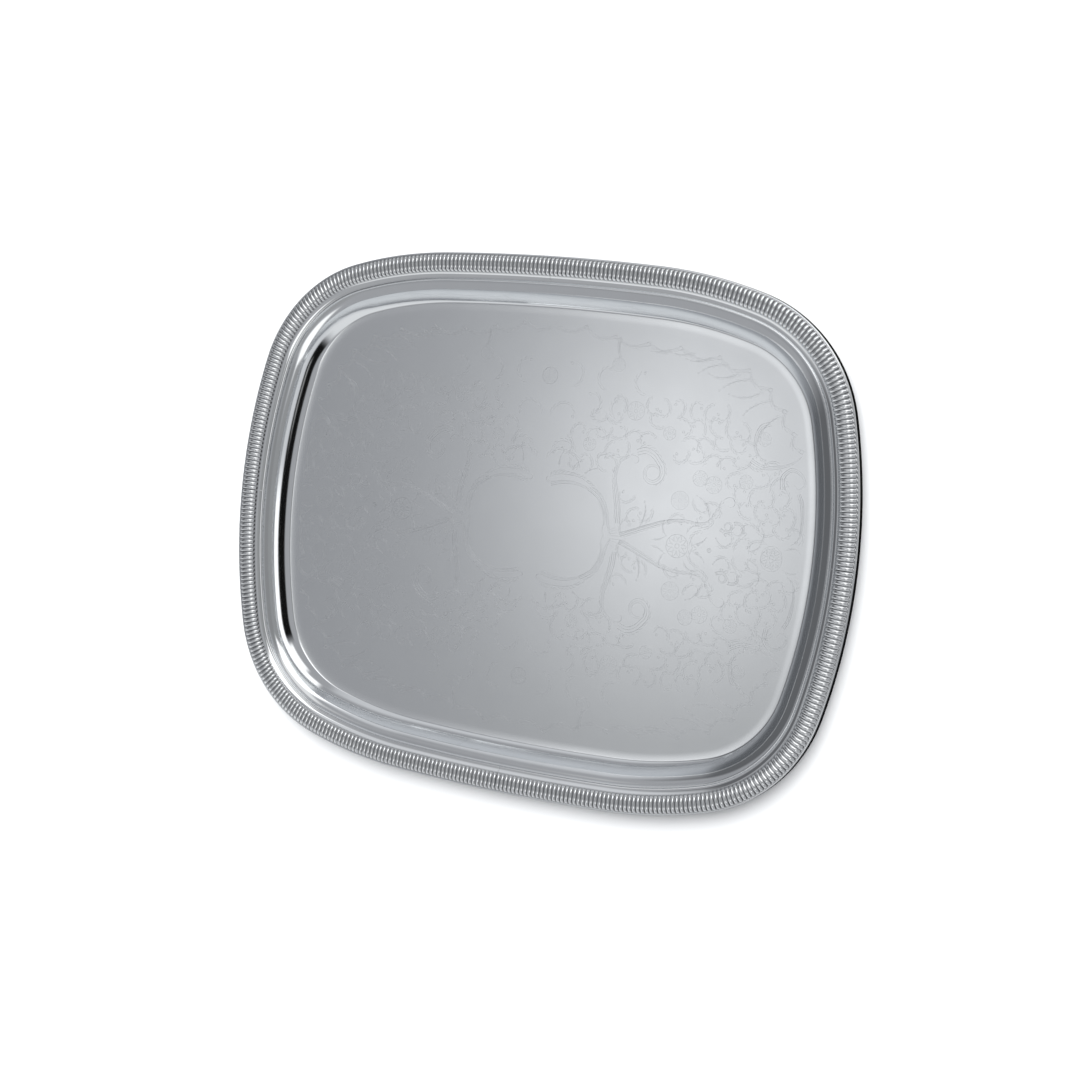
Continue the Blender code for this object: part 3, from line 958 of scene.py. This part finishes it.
# ---- floor, light and camera ---------------------------------------------------------
def make_floor():
    """A matte pale floor that the metal doesn't mirror."""
    half = FLOOR_HALF_SIZE
    mesh = bpy.data.meshes.new("floor")
    corners = [(-half, -half, 0.0), (half, -half, 0.0), (half, half, 0.0), (-half, half, 0.0)]
    mesh.from_pydata(corners, [], [[0, 1, 2, 3]])
    floor = bpy.data.objects.new("floor", mesh)
    bpy.context.scene.collection.objects.link(floor)
    material = bpy.data.materials.new("pale_floor")
    material.use_nodes = True
    nodes = material.node_tree.nodes
    nodes.remove(nodes["Principled BSDF"])
    matte = nodes.new("ShaderNodeBsdfDiffuse")
    matte.inputs["Color"].default_value = (0.86, 0.87, 0.88, 1.0)
    material.node_tree.links.new(matte.outputs[0], nodes["Material Output"].inputs["Surface"])
    mesh.materials.append(material)
    floor.visible_glossy = False


def sun(name, azimuth, elevation, strength, softness):
    """A sun that lights and shades the floor, and leaves no glint in the metal."""
    light = bpy.data.lights.new(name, "SUN")
    light.energy = strength
    light.angle = math.radians(softness)
    obj = bpy.data.objects.new(name, light)
    bpy.context.scene.collection.objects.link(obj)
    a = math.radians(azimuth)
    e = math.radians(elevation)
    towards = Vector((math.cos(a) * math.cos(e), math.sin(a) * math.cos(e), math.sin(e)))
    obj.rotation_euler = towards.to_track_quat("Z", "Y").to_euler()
    obj.visible_glossy = False


def value_node(tree, operation, *values):
    """One Math node; each value is a number or an output."""
    node = tree.nodes.new("ShaderNodeMath")
    node.operation = operation
    for socket, value in zip(node.inputs, values):
        if isinstance(value, (int, float)):
            socket.default_value = value
        else:
            tree.links.new(value, socket)
    return node.outputs[0]


def soft_range(tree, value, middle, half, soft):
    """1 where an angle lies within half of the middle, 0 beyond a soft edge; these three in degrees."""
    middle, half, soft = (math.radians(angle) for angle in (middle, half, soft))
    distance = value_node(tree, "ABSOLUTE", value_node(tree, "SUBTRACT", value, middle))
    edge = tree.nodes.new("ShaderNodeMapRange")
    edge.interpolation_type = "SMOOTHSTEP"
    edge.inputs["From Min"].default_value = half + soft
    edge.inputs["From Max"].default_value = max(0.0, half - soft)
    tree.links.new(distance, edge.inputs["Value"])
    return edge.outputs["Result"]


def card_mask(tree, look, elevation, azimuths, elevations, softness):
    """1 in the directions of one card, and 0 beyond its soft edges."""
    middle = math.radians((azimuths[0] + azimuths[1]) / 2)
    # the azimuth is measured from the card's own middle, so no card meets the wrap at half a turn
    across = value_node(
        tree, "SUBTRACT",
        value_node(tree, "MULTIPLY", look["Y"], math.cos(middle)),
        value_node(tree, "MULTIPLY", look["X"], math.sin(middle)),
    )
    along = value_node(
        tree, "ADD",
        value_node(tree, "MULTIPLY", look["X"], math.cos(middle)),
        value_node(tree, "MULTIPLY", look["Y"], math.sin(middle)),
    )
    azimuth = value_node(tree, "ARCTAN2", across, along)
    half_width = (azimuths[1] - azimuths[0]) / 2
    half_height = (elevations[1] - elevations[0]) / 2
    return value_node(
        tree, "MULTIPLY",
        soft_range(tree, azimuth, 0.0, half_width, softness[0]),
        soft_range(tree, elevation, elevations[0] + half_height, half_height, softness[1]),
    )


def mix_colors(tree, share, first, second):
    """The first colour, an output, gives way to the second, plain one as the share goes from 0 to 1."""
    mix = tree.nodes.new("ShaderNodeMix")
    mix.data_type = "RGBA"
    mix.inputs["B"].default_value = (*second, 1.0)
    tree.links.new(share, mix.inputs["Factor"])
    tree.links.new(first, mix.inputs["A"])
    return mix


def make_world():
    """The studio's dome and cards, dark towards the ground and plain white to the camera."""
    world = bpy.data.worlds.new("studio")
    bpy.context.scene.world = world
    world.use_nodes = True
    tree = world.node_tree
    nodes = tree.nodes
    split = nodes.new("ShaderNodeSeparateXYZ")
    tree.links.new(nodes.new("ShaderNodeTexCoord").outputs["Generated"], split.inputs[0])
    look = split.outputs
    elevation = value_node(tree, "ARCSINE", look["Z"])
    total = nodes.new("ShaderNodeRGB").outputs[0]
    total.default_value = (*DOME, 1.0)
    for name, azimuths, elevations, softness, color in CARDS:
        mask = card_mask(tree, look, elevation, azimuths, elevations, softness)
        cover = mix_colors(tree, mask, total, color)
        cover.name = name
        total = cover.outputs["Result"]
    # below the horizon it falls away to the dark under the tray
    ground = nodes.new("ShaderNodeMapRange")
    ground.inputs["From Min"].default_value = GROUND_LOW
    ground.inputs["From Max"].default_value = 0.0
    ground.inputs["To Min"].default_value = GROUND_DARKEST
    tree.links.new(look["Z"], ground.inputs["Value"])
    scale = nodes.new("ShaderNodeVectorMath")
    scale.operation = "SCALE"
    tree.links.new(total, scale.inputs[0])
    tree.links.new(ground.outputs["Result"], scale.inputs["Scale"])
    to_camera = nodes.new("ShaderNodeLightPath").outputs["Is Camera Ray"]
    seen = mix_colors(tree, to_camera, scale.outputs["Vector"], (1.0, 1.0, 1.0))
    tree.links.new(seen.outputs["Result"], nodes["Background"].inputs["Color"])


def make_camera():
    """The viewing angle: from above, a little to the right, with the picture turned on its axis."""
    location = Vector((0.5713, 0.0904, 1.2173))
    forward = Vector((-0.42027, -0.07456, -0.90433))
    up = Vector((-0.12691, 0.99165, -0.02278))
    right = forward.cross(up).normalized()
    up = right.cross(forward).normalized()
    data = bpy.data.cameras.new("camera")
    data.lens = 57.59
    data.sensor_width = 36.0
    data.clip_start = 0.05
    data.clip_end = 60.0
    camera = bpy.data.objects.new("camera", data)
    bpy.context.scene.collection.objects.link(camera)
    turn = Matrix((right, up, -forward)).transposed()
    camera.matrix_world = Matrix.Translation(location) @ turn.to_4x4()
    bpy.context.scene.camera = camera


def main():
    satin = silver(
        "satin_silver", (0.85, 0.873, 0.895), roughness=0.20, spread=0.02, tarnish=0.04,
        scratch_height=0.0000012,
    )
    polished = silver(
        "polished_silver", (0.868, 0.888, 0.905), roughness=0.07, spread=0.03, tarnish=0.05,
        scratch_height=0.0000004,
    )
    # the fluted silver's dark colour is painted shade and tarnish for its grooves
    fluted = fluted_silver((0.92, 0.937, 0.95), shade_and_tarnish_color=(0.17, 0.175, 0.18), roughness=0.07)
    chased = silver(
        "chased_silver", (0.77, 0.79, 0.81), roughness=0.36, spread=0.03, tarnish=0.05,
        scratch_height=0.0000012,
    )
    make_plate(satin, polished)
    for quarter, signs in QUARTERS:
        make_border_mount(quarter, signs, fluted)
    make_edge_band(polished)
    make_seam_wire(polished)
    make_chasing(chased)
    cast = filling_metal()
    for quarter, _ in QUARTERS:
        node = frame["nodes"]["border_filling_" + quarter]
        node.data.materials.clear()
        node.data.materials.append(cast)
    make_floor()
    make_world()
    sun("key_sun", azimuth=80.0, elevation=58.0, strength=3.8, softness=60.0)
    make_camera()
    bpy.context.scene.view_settings.view_transform = "Standard"


main()
